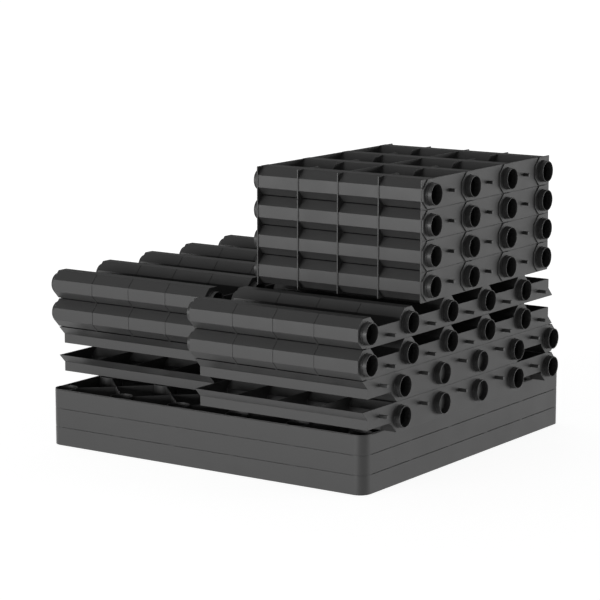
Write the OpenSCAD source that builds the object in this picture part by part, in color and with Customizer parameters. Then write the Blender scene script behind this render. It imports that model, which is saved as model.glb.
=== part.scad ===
// Flat-packed soakaway crate: three deck plates, eight side walls and four core
// panels, stacked as they travel. Upright, the tubes of the walls and panels are
// the columns of the crate and their spigots plug into the sockets of the plates.
// X runs along the tubes, Y across them, Z up from the ground.

/* [Tubes] */
// Distance between neighbouring tube axes
tube_pitch = 222; // [190:1:260]
// Width of the octagonal tube across its flats
tube_af = 91; // [80:1:110]
// Wall thickness of the tube
tube_wall = 3.5; // [2.5:0.5:5]
// Distance between the cross ribs along a tube
bay_l = 144; // [110:1:170]
// Distance from the outer cross ribs to the ends of a tube
end_bay_l = 154; // [120:1:180]
// Height of the low band round the tube at each cross rib
band_proud = 1; // [0.4:0.1:1.5]
// Width of that band
band_w = 7; // [4:0.5:10]
// Relief of the outer flats, so that stacked pieces rest on bands, ribs and end walls
rest_relief = 3; // [1:0.5:5]

/* [Spigots] */
// Outer diameter of the spigot at its mouth
spigot_d = 66; // [56:1:70]
// Wall thickness of the spigot
spigot_wall = 2.5; // [2:0.5:4]
// Length of the spigot past the end of the tube
spigot_l = 19; // [14:1:30]
// Step in radius from the spigot to the stop collar at its root
collar_step = 1.5; // [0.5:0.5:4]
// Length of the stop collar
collar_l = 6; // [3:0.5:10]

/* [Side walls] */
// Thickness of the flange
flange_t = 3.5; // [2.5:0.5:5]
// Thickness of the end walls
end_wall = 4; // [3:0.5:6]
// Height of the end walls and the flange above the tube axes
rail_rise = 11; // [4:1:20]
// Thickness of the cross ribs between the tubes of a wall
rib_t = 3; // [2:0.5:5]
// Drop of the cross ribs below the end walls
rib_drop = 10; // [4:1:20]
// Gap that the flange leaves to the corner tube of the next wall
flange_gap = 0.5; // [0.2:0.1:1.5]

/* [Locating pegs] */
// Width of a peg across the tubes
peg_w = 9; // [6:0.5:14]
// Height of a peg
peg_h = 9.5; // [6:0.5:14]
// Length of the pegs past the end walls of a side wall
wall_peg_l = 28; // [18:1:34]
// Length of the pegs past the end plates of a core panel
core_peg_l = 19; // [12:1:28]
// Distance of a side wall's pegs from the tube axes, towards its outer side
peg_drop = 20; // [14:1:26]

/* [Core panels] */
// Reach of the cross plates past the flats of the outer tubes
fin_proud = 3; // [1:0.5:6]
// Thickness of the cross plates between the ends
fin_t = 4; // [2.5:0.5:6]
// Set-back of the end plates from the ends of the tubes
end_setback = 4; // [1:0.5:10]
// Half width of the full-height part of a notched cross plate at each tube
fin_tab = 62; // [55:1:75]
// Half height of a notched cross plate between two tubes
fin_low = 18; // [10:1:30]

/* [Deck plates] */
// Height of one plate
plate_h = 60; // [48:1:80]
// Thickness of the rim
rim_t = 5.5; // [4:0.5:8]
// Height of the stepped lip at the top of the rim
lip_h = 2; // [1:0.5:5]
// Depth of the step at the lip
lip_step = 3; // [1:0.5:3.5]
// Thickness of the diagonal ribs
lattice_t = 4; // [2.5:0.5:6]
// Drop of the diagonal ribs below the top of the plate
lattice_drop = 3; // [1:1:15]
// Gap round a spigot in its socket
socket_gap = 0.5; // [0.2:0.1:1]
// Wall thickness of a socket
socket_wall = 2; // [1.5:0.5:5]
// Distance from the outer sockets to the edge of the plate
plate_margin = 0.5; // [0.5:0.5:6]

/* [Stack] */
// Reach of the right-hand walls past the right edge of the plates
right_overhang = 50; // [0:1:90]
// Reach of the right-hand walls past the front edge of the plates
front_overhang = 111; // [40:1:140]
// Gap between the pegs of the left and right walls
group_gap = 14; // [5:1:60]
// How far the left-hand walls stand behind the right-hand ones
left_setback = 168; // [0:1:200]
// How far the flange edge of a turned wall stands behind the tube above it
flange_setback = 24; // [0:1:60]
// How far the front of the core panels stands behind the right-hand walls
core_setback = 325; // [250:1:400]
// Shift of the core panels to the right of the walls under them
core_shift = 10; // [0:1:40]

/* [Hidden] */
$fn = 96;

plastic = "#4b4c4c";
cut = 1;

// A wall has one tube fewer than the sockets along its side of the plate,
// because the corner tube at its flange belongs to the next wall.
bays = 4;
wall_tubes = 5;
core_tubes = 4;
sockets = wall_tubes + 1;
plate_count = 3;
wall_count = 4;
turned_count = 2;
panel_l = (bays - 2) * bay_l + 2 * end_bay_l;
bore_d = spigot_d - 2 * spigot_wall;
collar_d = spigot_d + 2 * collar_step;

// Octagon: half width, half length of one flat, and v + w along a sloping flat.
oct_half = tube_af / 2;
oct_flat = oct_half * tan(22.5);
oct_sum = oct_half + oct_flat;

// The flange ends in the counter-form of the next wall's corner tube.
flange_v = wall_tubes * tube_pitch - oct_half - flange_gap;
flare_v = wall_tubes * tube_pitch - oct_flat - flange_gap;
flare_sum = flange_v - oct_flat;
slope = sqrt(2);

// The full-height stretch of a turned wall's far end runs between these tubes.
closed_first = 1;
closed_last = 4;

core_lo = -oct_half - fin_proud;
core_hi = (core_tubes - 1) * tube_pitch + oct_half + fin_proud;

socket_d = spigot_d + 2 * socket_gap;
plate_edge = socket_d / 2 + socket_wall + plate_margin;
grid_half = (sockets - 1) * tube_pitch / 2;
plate_half = grid_half + plate_edge;

// Reach of the walls and core panels past the ends of their tubes
wall_reach = max(spigot_l, wall_peg_l);
core_reach = max(spigot_l, core_peg_l - end_setback);

// Places in the stack
plates_top = plate_count * plate_h;
right_x = plate_half + right_overhang - panel_l;
left_x = right_x - group_gap - 2 * wall_reach - panel_l;
front_y = -plate_half - front_overhang;
core_x = right_x + core_shift;
core_y = front_y + core_setback - core_lo;
cores_z = plates_top + wall_count * tube_af + oct_half;

// Reach of the whole stack, so that it stands centred over the origin
reach_left = min(left_x - wall_reach, -plate_half);
reach_right = max(core_x + core_reach, right_x + wall_reach) + panel_l;
reach_front = front_y - band_proud;
reach_back = max(front_y + left_setback + flange_setback + flare_v + oct_half + band_proud, plate_half);
stack_x = -(reach_left + reach_right) / 2;
stack_y = -(reach_front + reach_back) / 2;

// Place of a cross rib along the tubes, counted from the near end.
function rib_x(i) = end_bay_l + (i - 1) * bay_l;

// Extrudes a section drawn across the tubes along them.
module along(length) {
    rotate([90, 0, 90])
        linear_extrude(height = length)
            children();
}

// Octagon with half width, reach up and down, and v + w along its sloping flats.
module octagon(half_v, up_w, down_w, sum) {
    a = sum - half_v;
    b = sum - up_w;
    c = sum - down_w;
    polygon([
        [half_v, a], [b, up_w], [-b, up_w], [-half_v, a],
        [-half_v, -a], [-c, -down_w], [c, -down_w], [half_v, -a]
    ]);
}

// Outside of one tube with its bands and a spigot at each end.
module tube_body() {
    along(panel_l)
        octagon(oct_half, oct_half, oct_half - rest_relief, oct_sum);
    for (i = [1 : bays - 1])
        translate([rib_x(i) - band_w / 2, 0, 0])
            along(band_w)
                octagon(oct_half + band_proud, oct_half, oct_half, oct_sum + slope * band_proud);
    translate([-collar_l, 0, 0])
        rotate([0, 90, 0])
            cylinder(d = collar_d, h = panel_l + 2 * collar_l);
    translate([-spigot_l, 0, 0])
        rotate([0, 90, 0])
            cylinder(d = spigot_d, h = panel_l + 2 * spigot_l);
}

// Inside of one tube: the octagonal hollow and the bore through both spigots.
module tube_hollow() {
    inner = oct_half - tube_wall;
    translate([end_wall, 0, 0])
        along(panel_l - 2 * end_wall)
            octagon(inner, inner, inner - rest_relief, oct_sum - slope * tube_wall);
    translate([-spigot_l - cut, 0, 0])
        rotate([0, 90, 0])
            cylinder(d = bore_d, h = panel_l + 2 * spigot_l + 2 * cut);
}

// Section of a side wall's flange.
module flange_section() {
    inner_v = flange_v - flange_t;
    inner_sum = flare_sum - slope * flange_t;
    polygon([
        [flare_v, -oct_half], [flange_v, -oct_flat], [flange_v, rail_rise],
        [inner_v, rail_rise], [inner_v, inner_sum - inner_v], [inner_sum + oct_half, -oct_half]
    ]);
}

// Outline of an end wall or a cross rib of a side wall, up to a given height.
module rail_outline(top_w) {
    polygon([
        [0, -oct_half], [flare_v, -oct_half], [flange_v, -oct_flat], [flange_v, top_w],
        [0, top_w]
    ]);
}

// Locating pegs that stand out from a plate across the tubes, one after each of
// count tubes.
module pegs(count, centre_w, from_x, length) {
    for (k = [0 : count - 1])
        translate([from_x, (k + 0.5) * tube_pitch - peg_w / 2, centre_w - peg_h / 2])
            cube([length, peg_w, peg_h]);
}

// Side wall with its outer side below: an open frame of tubes, end walls, cross ribs
// and a flange. A closed wall has a full-height stretch at the far end.
module side_wall(closed) {
    far_x = panel_l - end_wall;
    difference() {
        union() {
            along(panel_l)
                flange_section();
            for (x = [0, far_x])
                translate([x, 0, 0])
                    along(end_wall)
                        rail_outline(rail_rise);
            for (x = [-wall_peg_l, far_x])
                pegs(wall_tubes, -peg_drop, x, end_wall + wall_peg_l);
            for (i = [1 : bays - 1])
                translate([rib_x(i) - rib_t / 2, 0, 0])
                    along(rib_t)
                        rail_outline(rail_rise - rib_drop);
            if (closed)
                translate([far_x, closed_first * tube_pitch, -oct_half])
                    cube([end_wall, (closed_last - closed_first) * tube_pitch, tube_af]);
            for (k = [0 : wall_tubes - 1])
                translate([0, k * tube_pitch, 0])
                    tube_body();
        }
        for (k = [0 : wall_tubes - 1])
            translate([0, k * tube_pitch, 0])
                tube_hollow();
    }
}

// Full cross plate of a core panel.
module cross_plate(x, thickness) {
    translate([x, core_lo, -oct_half])
        cube([thickness, core_hi - core_lo, tube_af]);
}

// Notches between the tubes that leave a cross plate low there, above and below.
module plate_notches(x, thickness) {
    depth = oct_half - fin_low;
    for (k = [0 : core_tubes - 2], side = [1, -1])
        translate([x - cut, k * tube_pitch, 0])
            along(thickness + 2 * cut)
                polygon([
                    [fin_tab, side * (oct_half + cut)],
                    [fin_tab, side * oct_half],
                    [fin_tab + depth, side * fin_low],
                    [tube_pitch - fin_tab - depth, side * fin_low],
                    [tube_pitch - fin_tab, side * oct_half],
                    [tube_pitch - fin_tab, side * (oct_half + cut)]
                ]);
}

// Core panel: tubes joined by end plates, a full middle plate and notched plates.
module core_panel() {
    far_x = panel_l - end_setback - end_wall;
    middle = bays / 2;
    difference() {
        union() {
            for (x = [end_setback, far_x])
                cross_plate(x, end_wall);
            for (x = [end_setback - core_peg_l, far_x])
                pegs(core_tubes - 1, 0, x, end_wall + core_peg_l);
            for (i = [1 : bays - 1])
                difference() {
                    cross_plate(rib_x(i) - fin_t / 2, fin_t);
                    if (i != middle)
                        plate_notches(rib_x(i) - fin_t / 2, fin_t);
                }
            for (k = [0 : core_tubes - 1])
                translate([0, k * tube_pitch, 0])
                    tube_body();
        }
        for (k = [0 : core_tubes - 1])
            translate([0, k * tube_pitch, 0])
                tube_hollow();
    }
}

// Square block with round corners about the corner sockets.
module round_block(radius, bottom, top) {
    span = 2 * grid_half;
    translate([0, 0, bottom]) {
        translate([-grid_half - radius, -grid_half, 0])
            cube([span + 2 * radius, span, top - bottom]);
        translate([-grid_half, -grid_half - radius, 0])
            cube([span, span + 2 * radius, top - bottom]);
        for (x = [-grid_half, grid_half], y = [-grid_half, grid_half])
            translate([x, y, 0])
                cylinder(r = radius, h = top - bottom);
    }
}

// One diagonal line of ribs through the sockets, as many cells long as the line has.
module diagonal_rib(offset, turn) {
    cells = sockets - 1 - abs(offset);
    length = cells * tube_pitch * slope;
    shift = offset * tube_pitch / 2;
    rotate([0, 0, turn])
        translate([shift, -shift, 0])
            rotate([0, 0, 45])
                translate([-length / 2, -lattice_t / 2, 0])
                    cube([length, lattice_t, plate_h - lattice_drop]);
}

// Deck plate: a rim with a stepped lip, sockets for the spigots and diagonal ribs.
module deck_plate() {
    reach = sockets - 2;
    difference() {
        union() {
            difference() {
                union() {
                    round_block(plate_edge, 0, plate_h - lip_h);
                    round_block(plate_edge - lip_step, 0, plate_h);
                }
                round_block(plate_edge - rim_t, -cut, plate_h + cut);
            }
            for (offset = [-reach : reach], turn = [0, 90])
                diagonal_rib(offset, turn);
            for (i = [0 : sockets - 1], j = [0 : sockets - 1])
                translate([i * tube_pitch - grid_half, j * tube_pitch - grid_half, 0])
                    cylinder(d = socket_d + 2 * socket_wall, h = plate_h);
        }
        for (i = [0 : sockets - 1], j = [0 : sockets - 1])
            translate([i * tube_pitch - grid_half, j * tube_pitch - grid_half, -cut])
                cylinder(d = socket_d, h = plate_h + 2 * cut);
    }
}

// One plate of the stack, counted from the ground.
module stacked_plate(level) {
    color(plastic)
        translate([stack_x, stack_y, (level - 1) * plate_h])
            deck_plate();
}

// One wall of a group, counted from the plates. The lower ones lie turned over,
// outer side up and flange to the front; the others lie on their outer side.
module stacked_wall(level, x, setback) {
    turned = level <= turned_count;
    front = front_y + setback;
    y = turned ? front + flange_setback + flare_v : front + oct_half;
    z = plates_top + (level - 0.5) * tube_af;
    color(plastic)
        translate([stack_x + x, stack_y + y, z])
            rotate([turned ? 180 : 0, 0, 0])
                side_wall(turned);
}

// One core panel, counted from the walls under it.
module stacked_core(level) {
    color(plastic)
        translate([stack_x + core_x, stack_y + core_y, cores_z + (level - 1) * tube_af])
            core_panel();
}

module base_plate() { stacked_plate(1); }
module middle_plate() { stacked_plate(2); }
module cover_plate() { stacked_plate(3); }
module left_wall_1() { stacked_wall(1, left_x, left_setback); }
module left_wall_2() { stacked_wall(2, left_x, left_setback); }
module left_wall_3() { stacked_wall(3, left_x, left_setback); }
module left_wall_4() { stacked_wall(4, left_x, left_setback); }
module right_wall_1() { stacked_wall(1, right_x, 0); }
module right_wall_2() { stacked_wall(2, right_x, 0); }
module right_wall_3() { stacked_wall(3, right_x, 0); }
module right_wall_4() { stacked_wall(4, right_x, 0); }
module core_panel_1() { stacked_core(1); }
module core_panel_2() { stacked_core(2); }
module core_panel_3() { stacked_core(3); }
module core_panel_4() { stacked_core(4); }

base_plate();
middle_plate();
cover_plate();
left_wall_1();
left_wall_2();
left_wall_3();
left_wall_4();
right_wall_1();
right_wall_2();
right_wall_3();
right_wall_4();
core_panel_1();
core_panel_2();
core_panel_3();
core_panel_4();
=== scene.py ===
import math

import bmesh
import bpy
from bpy.props import FloatProperty, FloatVectorProperty, IntProperty, PointerProperty
from mathutils import Matrix, Vector


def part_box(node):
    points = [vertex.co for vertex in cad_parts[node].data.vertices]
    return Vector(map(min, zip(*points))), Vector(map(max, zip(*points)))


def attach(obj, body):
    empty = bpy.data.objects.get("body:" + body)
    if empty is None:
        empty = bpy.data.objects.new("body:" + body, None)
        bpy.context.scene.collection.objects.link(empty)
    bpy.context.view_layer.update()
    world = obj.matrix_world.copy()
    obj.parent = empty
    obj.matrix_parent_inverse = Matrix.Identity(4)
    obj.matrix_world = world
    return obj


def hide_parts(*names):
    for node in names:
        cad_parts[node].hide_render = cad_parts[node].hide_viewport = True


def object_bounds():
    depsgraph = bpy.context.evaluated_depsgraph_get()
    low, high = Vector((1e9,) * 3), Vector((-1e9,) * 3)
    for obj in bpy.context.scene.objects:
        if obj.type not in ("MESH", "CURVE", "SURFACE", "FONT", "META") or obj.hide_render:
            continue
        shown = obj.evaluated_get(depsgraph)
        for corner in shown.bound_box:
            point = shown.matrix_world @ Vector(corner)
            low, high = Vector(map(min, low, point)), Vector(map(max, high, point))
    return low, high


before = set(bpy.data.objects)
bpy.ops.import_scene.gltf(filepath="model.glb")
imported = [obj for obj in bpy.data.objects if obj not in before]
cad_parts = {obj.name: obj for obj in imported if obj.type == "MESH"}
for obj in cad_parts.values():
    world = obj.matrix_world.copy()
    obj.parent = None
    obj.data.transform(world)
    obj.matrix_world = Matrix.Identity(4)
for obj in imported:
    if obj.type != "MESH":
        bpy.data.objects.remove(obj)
CAD_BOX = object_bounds()

bl_info = {
    "name": "Flat-packed soakaway crate",
    "version": (1, 0, 0),
    "blender": (4, 5, 0),
    "location": "View3D > Sidebar > Crate",
    "description": "Finishes the mouldings of a flat-packed soakaway crate and sets its stage",
    "category": "Object",
}

MM = 0.001
BODY = "root"

PLATES = ["base_plate", "middle_plate", "cover_plate"]
WALLS = [f"{side}_wall_{level}" for side in ("left", "right") for level in range(1, 5)]
CORES = [f"core_panel_{level}" for level in range(1, 5)]
# The lower two walls of each group lie turned over.
TURNED_WALLS = [node for node in WALLS if node[-1] in "12"]

# Sizes of a turned wall that its box doesn't give, for the two blanked tubes inside the
# full-height stretch of its far end. Tubes are counted from the back.
TUBE_PITCH = 222 * MM
TUBE_REACH = 46.5 * MM
PEG_REACH = 28 * MM
END_WALL = 4 * MM
# Half a millimetre more than the bore, so that the blank is let into the end wall.
BLANK_RADIUS = 31 * MM
BLANK_SEGMENTS = 48
BLANKED_TUBES = (2, 3)

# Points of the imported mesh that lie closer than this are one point.
MERGE_DISTANCE = 0.01 * MM
# Triangles that meet at less than this angle lie in one flat face.
FLAT_ANGLE = math.radians(0.2)
# Edges sharper than this are corners of the mould and get a radius.
CORNER_ANGLE = math.radians(35)
# Edges sharper than this part two facets; flatter ones belong to a round face.
FACET_ANGLE = math.radians(24)

# Flow clouds of the plastic and its mould texture.
FLOW_WIDTH = 90 * MM
# The real grain is some tenths of a millimetre; it is drawn wider so that it shows.
GRAIN_WIDTH = 1.6 * MM
GRAIN_DEPTH = 0.1 * MM
GRAIN_STRENGTH = 0.12
ROUGHNESS_SPREAD = 0.05
POLYPROPYLENE_IOR = 1.49

WHITE = "#ffffff"
FLOOR_PAINT = "#b3b3b3"
# The floor glows a little less up to the first distance than from the second one on.
SHADOW_REACH = (1.5, 4)
SHADOW_GLOW = 0.9

SENSOR_WIDTH = 36
CAMERA_REACH = 200

# Name, place, width and height of each soft lamp. Far lamps light the whole stack evenly.
LAMPS = (
    ("front", (-4, -17, 1.6), (16, 3)),
    ("side", (16, 10, 1.6), (12, 3)),
    ("left", (-17, 8, 1.6), (12, 3)),
    ("back", (-2.2, 3.2, 4.6), (3, 1.5)),
    ("top", (-7.8, -2.4, 11.3), (6, 6)),
)


def linear(hex_colour):
    """Linear RGB of an sRGB hex colour."""
    values = [int(hex_colour[i:i + 2], 16) / 255 for i in (1, 3, 5)]
    return [v / 12.92 if v <= 0.04045 else ((v + 0.055) / 1.055) ** 2.4 for v in values]


def add(tree, kind, settings=None, inputs=None):
    """A new node with its settings, and its inputs set to values or linked to sockets."""
    node = tree.nodes.new(kind)
    for name, value in (settings or {}).items():
        setattr(node, name, value)
    for name, value in (inputs or {}).items():
        if isinstance(value, bpy.types.NodeSocket):
            tree.links.new(value, node.inputs[name])
        else:
            node.inputs[name].default_value = value
    return node


class CrateFinish(bpy.types.PropertyGroup):
    """Finish of the mouldings."""

    plastic: FloatVectorProperty(
        name="Plastic",
        description="Colour of the plastic",
        subtype="COLOR",
        size=3,
        min=0,
        max=1,
        default=linear("#404040"),
    )
    flow: FloatVectorProperty(
        name="Flow marks",
        description="Paler tone where the melt flowed together",
        subtype="COLOR",
        size=3,
        min=0,
        max=1,
        default=linear("#454545"),
    )
    roughness: FloatProperty(
        name="Roughness",
        description="Mean roughness of the mould texture",
        subtype="FACTOR",
        min=0,
        max=1,
        default=0.42,
    )
    edge_radius: FloatProperty(
        name="Edge radius",
        description="Radius that the mould leaves on outer and inner corners",
        unit="LENGTH",
        min=0.1 * MM,
        max=2 * MM,
        default=1 * MM,
    )
    narrowest: FloatProperty(
        name="Narrowest face",
        description="Width below which a face keeps sharp edges",
        unit="LENGTH",
        min=0.1 * MM,
        max=5 * MM,
        default=2.4 * MM,
    )
    edge_segments: IntProperty(
        name="Edge segments",
        description="Facets across one rounded corner",
        min=1,
        max=4,
        default=2,
    )


class CrateStage(bpy.types.PropertyGroup):
    """Camera, floor and lights."""

    camera_place: FloatVectorProperty(
        name="Camera",
        description="Place of the camera",
        subtype="XYZ",
        unit="LENGTH",
        size=3,
        default=(4.3575, -6.3641, 1.802),
    )
    camera_aim: FloatVectorProperty(
        name="Line of sight",
        description="Direction in which the camera looks",
        subtype="DIRECTION",
        size=3,
        default=(-0.5586, 0.8111, -0.1736),
    )
    focal_length: FloatProperty(
        name="Focal length",
        description="Focal length for a sensor 36 mm wide, in millimetres",
        unit="CAMERA",
        default=147.4,
    )
    floor_size: FloatProperty(
        name="Floor",
        description="Width of the floor",
        unit="LENGTH",
        default=80,
    )
    sky: FloatProperty(
        name="Room light",
        description="Strength of the light from all round",
        default=0.15,
    )
    front_power: FloatProperty(
        name="Front light",
        description="Power of the soft light in front of the tubes",
        unit="POWER",
        default=1700,
    )
    side_power: FloatProperty(
        name="Side light",
        description="Power of the soft light beyond the spigots",
        unit="POWER",
        default=900,
    )
    left_power: FloatProperty(
        name="Left light",
        description="Power of the soft light left of the stack",
        unit="POWER",
        default=700,
    )
    back_power: FloatProperty(
        name="Back light",
        description="Power of the soft light above and behind the stack",
        unit="POWER",
        default=8,
    )
    top_power: FloatProperty(
        name="Top light",
        description="Power of the soft light above the stack",
        unit="POWER",
        default=30,
    )


def moulded_polypropylene():
    """Injection-moulded polypropylene, dark grey, made once for all the pieces."""
    # The mould's fine texture breaks up the gloss, so flat faces look matt, round ones
    # show a broad dull shine, and the tone clouds slightly where the melt flowed.
    finish = bpy.context.scene.crate_finish
    name = "moulded_polypropylene"
    if name in bpy.data.materials:
        return bpy.data.materials[name]
    material = bpy.data.materials.new(name)
    material.use_nodes = True
    tree = material.node_tree
    tree.nodes.clear()
    place = add(tree, "ShaderNodeTexCoord").outputs["Object"]
    clouds = add(
        tree, "ShaderNodeTexNoise", None,
        {"Vector": place, "Scale": 1 / FLOW_WIDTH, "Detail": 3, "Roughness": 0.5},
    ).outputs["Fac"]
    tone = add(
        tree, "ShaderNodeMix", {"data_type": "RGBA"},
        {6: (*finish.plastic, 1), 7: (*finish.flow, 1), 0: clouds},
    ).outputs[2]
    grain = add(
        tree, "ShaderNodeTexNoise", None,
        {"Vector": place, "Scale": 1 / GRAIN_WIDTH, "Detail": 2, "Roughness": 0.6},
    ).outputs["Fac"]
    dullness = add(
        tree, "ShaderNodeMapRange", None,
        {"Value": clouds, "From Min": 0.3, "From Max": 0.7,
         "To Min": finish.roughness - ROUGHNESS_SPREAD,
         "To Max": finish.roughness + ROUGHNESS_SPREAD},
    ).outputs["Result"]
    relief = add(
        tree, "ShaderNodeBump", None,
        {"Height": grain, "Strength": GRAIN_STRENGTH, "Distance": GRAIN_DEPTH},
    ).outputs["Normal"]
    surface = add(
        tree, "ShaderNodeBsdfPrincipled", None,
        {"Base Color": tone, "Roughness": dullness, "IOR": POLYPROPYLENE_IOR,
         "Normal": relief},
    ).outputs["BSDF"]
    add(tree, "ShaderNodeOutputMaterial", None, {"Surface": surface})
    return material


def surface_widths(bm):
    """Mean width of the flat or round surface that each face is a part of."""
    width = {}
    for start in bm.faces:
        if start in width:
            continue
        surface, waiting, border = {start}, [start], 0
        while waiting:
            for edge in waiting.pop().edges:
                if not edge.is_manifold or edge.calc_face_angle() > FACET_ANGLE:
                    border += edge.calc_length()
                    continue
                fresh = [face for face in edge.link_faces if face not in surface]
                surface.update(fresh)
                waiting.extend(fresh)
        mean = 2 * sum(face.calc_area() for face in surface) / border
        width.update(dict.fromkeys(surface, mean))
    return width


def round_corners(bm):
    """Gives the corners of a moulding their radius, except beside faces too narrow for it."""
    finish = bpy.context.scene.crate_finish
    width = surface_widths(bm)
    corners = [
        edge for edge in bm.edges
        if edge.is_manifold and edge.calc_face_angle() > CORNER_ANGLE
        and min(width[face] for face in edge.link_faces) > finish.narrowest
    ]
    bmesh.ops.bevel(
        bm, geom=corners, offset=finish.edge_radius, offset_type="OFFSET",
        segments=finish.edge_segments, profile=0.5, affect="EDGES", clamp_overlap=False,
        loop_slide=False, material=-1,
    )


def blank_bores(bm, node):
    """Closes the bores of the tubes that end behind the full-height stretch of the end wall."""
    low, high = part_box(node)
    along_x = Matrix.Rotation(math.pi / 2, 4, "Y")
    for tube in BLANKED_TUBES:
        place = Vector((
            high[0] - PEG_REACH - END_WALL / 2,
            high[1] - TUBE_REACH - tube * TUBE_PITCH,
            (low[2] + high[2]) / 2,
        ))
        bmesh.ops.create_cone(
            bm, cap_ends=True, segments=BLANK_SEGMENTS, radius1=BLANK_RADIUS,
            radius2=BLANK_RADIUS, depth=END_WALL, matrix=Matrix.Translation(place) @ along_x,
        )


def weighted_normals(bm):
    """Corner normals weighed by area, so that flat faces stay flat up to rounded corners."""
    bm.normal_update()
    share = {face: face.normal * face.calc_area() for face in bm.faces}
    limit = math.cos(FACET_ANGLE)
    normals = []
    for face in bm.faces:
        for vert in face.verts:
            around = [near for near in vert.link_faces if near.normal.dot(face.normal) > limit]
            normals.append(sum((share[near] for near in around), Vector()).normalized())
    return normals


def moulding(node):
    """Shows one CAD node as a moulding with rounded corners."""
    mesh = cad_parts[node].data.copy()
    mesh.name = f"{node}_moulding"
    bm = bmesh.new()
    bm.from_mesh(mesh)
    bmesh.ops.remove_doubles(bm, verts=bm.verts, dist=MERGE_DISTANCE)
    bmesh.ops.join_triangles(
        bm, faces=bm.faces, angle_face_threshold=FLAT_ANGLE, angle_shape_threshold=math.pi
    )
    round_corners(bm)
    if node in TURNED_WALLS:
        blank_bores(bm, node)
    bmesh.ops.triangulate(bm, faces=[face for face in bm.faces if len(face.verts) > 4])
    for face in bm.faces:
        face.smooth = True
    for edge in bm.edges:
        edge.smooth = edge.is_manifold and edge.calc_face_angle() < FACET_ANGLE
    normals = weighted_normals(bm)
    bm.to_mesh(mesh)
    bm.free()
    mesh.normals_split_custom_set(normals)
    mesh.materials.clear()
    mesh.materials.append(moulded_polypropylene())
    piece = bpy.data.objects.new(f"{node}_moulding", mesh)
    bpy.context.scene.collection.objects.link(piece)
    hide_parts(node)
    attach(piece, BODY)


class CRATE_OT_plates(bpy.types.Operator):
    """Finish the three deck plates."""

    bl_idname = "crate.plates"
    bl_label = "Deck plates"

    def execute(self, context):
        for node in PLATES:
            moulding(node)
        return {"FINISHED"}


class CRATE_OT_walls(bpy.types.Operator):
    """Finish the side walls of both groups."""

    bl_idname = "crate.walls"
    bl_label = "Side walls"

    def execute(self, context):
        for node in WALLS:
            moulding(node)
        return {"FINISHED"}


class CRATE_OT_cores(bpy.types.Operator):
    """Finish the core panels."""

    bl_idname = "crate.cores"
    bl_label = "Core panels"

    def execute(self, context):
        for node in CORES:
            moulding(node)
        return {"FINISHED"}


def background_rays(tree):
    """1 for rays that see the background itself: direct, mirrored or through glass."""
    path = add(tree, "ShaderNodeLightPath")
    seen = path.outputs["Is Camera Ray"]
    for ray in ("Is Glossy Ray", "Is Transmission Ray"):
        seen = add(
            tree, "ShaderNodeMath", {"operation": "MAXIMUM"}, {0: seen, 1: path.outputs[ray]}
        ).outputs[0]
    return seen


def painted_floor():
    """Matt studio floor paint."""
    # It is plain white to the eye far from the stack, and keeps a soft shadow near it.
    material = bpy.data.materials.new("painted_studio_floor")
    material.use_nodes = True
    tree = material.node_tree
    tree.nodes.clear()
    place = add(tree, "ShaderNodeTexCoord").outputs["Object"]
    distance = add(
        tree, "ShaderNodeVectorMath", {"operation": "LENGTH"}, {0: place}
    ).outputs["Value"]
    near, far = SHADOW_REACH
    glow = add(
        tree, "ShaderNodeMapRange", {"interpolation_type": "SMOOTHSTEP"},
        {"Value": distance, "From Min": near, "From Max": far,
         "To Min": SHADOW_GLOW, "To Max": 1},
    ).outputs["Result"]
    seen = add(
        tree, "ShaderNodeMath", {"operation": "MULTIPLY"}, {0: background_rays(tree), 1: glow}
    ).outputs[0]
    paint = add(tree, "ShaderNodeBsdfDiffuse", None, {"Color": (*linear(FLOOR_PAINT), 1)})
    white = add(
        tree, "ShaderNodeEmission", None, {"Color": (*linear(WHITE), 1), "Strength": seen}
    )
    both = add(tree, "ShaderNodeAddShader", None, {0: paint.outputs[0], 1: white.outputs[0]})
    add(tree, "ShaderNodeOutputMaterial", None, {"Surface": both.outputs[0]})
    return material


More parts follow.
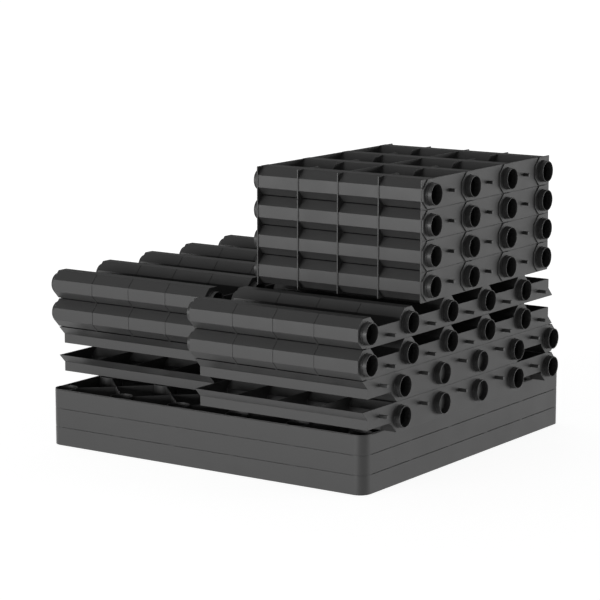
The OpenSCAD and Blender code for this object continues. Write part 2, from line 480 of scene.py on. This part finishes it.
class CRATE_OT_stage(bpy.types.Operator):
    """Set up the floor, the lights and the camera."""

    bl_idname = "crate.stage"
    bl_label = "Stage"

    def execute(self, context):
        scene = context.scene
        stage = scene.crate_stage
        self.make_floor(scene, stage)
        self.make_world(scene, stage)
        self.make_lamps(scene, stage)
        self.make_camera(scene, stage)
        scene.view_settings.view_transform = "Standard"
        return {"FINISHED"}

    def make_floor(self, scene, stage):
        mesh = bpy.data.meshes.new("floor")
        bm = bmesh.new()
        bmesh.ops.create_grid(bm, x_segments=1, y_segments=1, size=stage.floor_size / 2)
        bm.to_mesh(mesh)
        bm.free()
        mesh.materials.append(painted_floor())
        floor = bpy.data.objects.new("floor", mesh)
        scene.collection.objects.link(floor)

    def make_world(self, scene, stage):
        world = bpy.data.worlds.new("studio")
        scene.world = world
        world.use_nodes = True
        tree = world.node_tree
        tree.nodes.clear()
        # The room is white to the camera alone: the floor is the background, and a white
        # ceiling mirrored in the plastic would wash out its upper faces.
        strength = add(
            tree, "ShaderNodeMapRange", None,
            {"Value": add(tree, "ShaderNodeLightPath").outputs["Is Camera Ray"],
             "To Min": stage.sky, "To Max": 1},
        ).outputs["Result"]
        light = add(
            tree, "ShaderNodeBackground", None,
            {"Color": (*linear(WHITE), 1), "Strength": strength},
        )
        add(tree, "ShaderNodeOutputWorld", None, {"Surface": light.outputs[0]})

    def make_lamps(self, scene, stage):
        low, high = CAD_BOX
        middle = (low + high) / 2
        for name, place, size in LAMPS:
            lamp = bpy.data.lights.new(f"{name}_light", "AREA")
            lamp.shape = "RECTANGLE"
            lamp.size, lamp.size_y = size
            lamp.energy = getattr(stage, f"{name}_power")
            light = bpy.data.objects.new(f"{name}_light", lamp)
            light.location = place
            light.rotation_mode = "QUATERNION"
            light.rotation_quaternion = (middle - Vector(place)).to_track_quat("-Z", "Y")
            scene.collection.objects.link(light)

    def make_camera(self, scene, stage):
        lens = bpy.data.cameras.new("camera")
        lens.sensor_width = SENSOR_WIDTH
        lens.lens = stage.focal_length
        lens.clip_end = CAMERA_REACH
        camera = bpy.data.objects.new("camera", lens)
        camera.location = stage.camera_place
        camera.rotation_mode = "QUATERNION"
        camera.rotation_quaternion = Vector(stage.camera_aim).to_track_quat("-Z", "Y")
        scene.collection.objects.link(camera)
        scene.camera = camera


class CRATE_PT_panel(bpy.types.Panel):
    """Lists the steps and settings of the crate."""

    bl_idname = "CRATE_PT_panel"
    bl_label = "Soakaway crate"
    bl_space_type = "VIEW_3D"
    bl_region_type = "UI"
    bl_category = "Crate"

    def draw(self, context):
        layout = self.layout
        for group in (context.scene.crate_finish, context.scene.crate_stage):
            for name in group.bl_rna.properties.keys():
                if name not in {"rna_type", "name"}:
                    layout.prop(group, name)
        for step in STEPS:
            layout.operator(step.bl_idname)


STEPS = (CRATE_OT_plates, CRATE_OT_walls, CRATE_OT_cores, CRATE_OT_stage)
CLASSES = (CrateFinish, CrateStage, *STEPS, CRATE_PT_panel)


def register():
    for cls in CLASSES:
        bpy.utils.register_class(cls)
    bpy.types.Scene.crate_finish = PointerProperty(type=CrateFinish)
    bpy.types.Scene.crate_stage = PointerProperty(type=CrateStage)


def unregister():
    del bpy.types.Scene.crate_stage
    del bpy.types.Scene.crate_finish
    for cls in reversed(CLASSES):
        bpy.utils.unregister_class(cls)


def main():
    register()
    bpy.ops.crate.plates()
    bpy.ops.crate.walls()
    bpy.ops.crate.cores()
    bpy.ops.crate.stage()


if __name__ == "__main__":
    main()
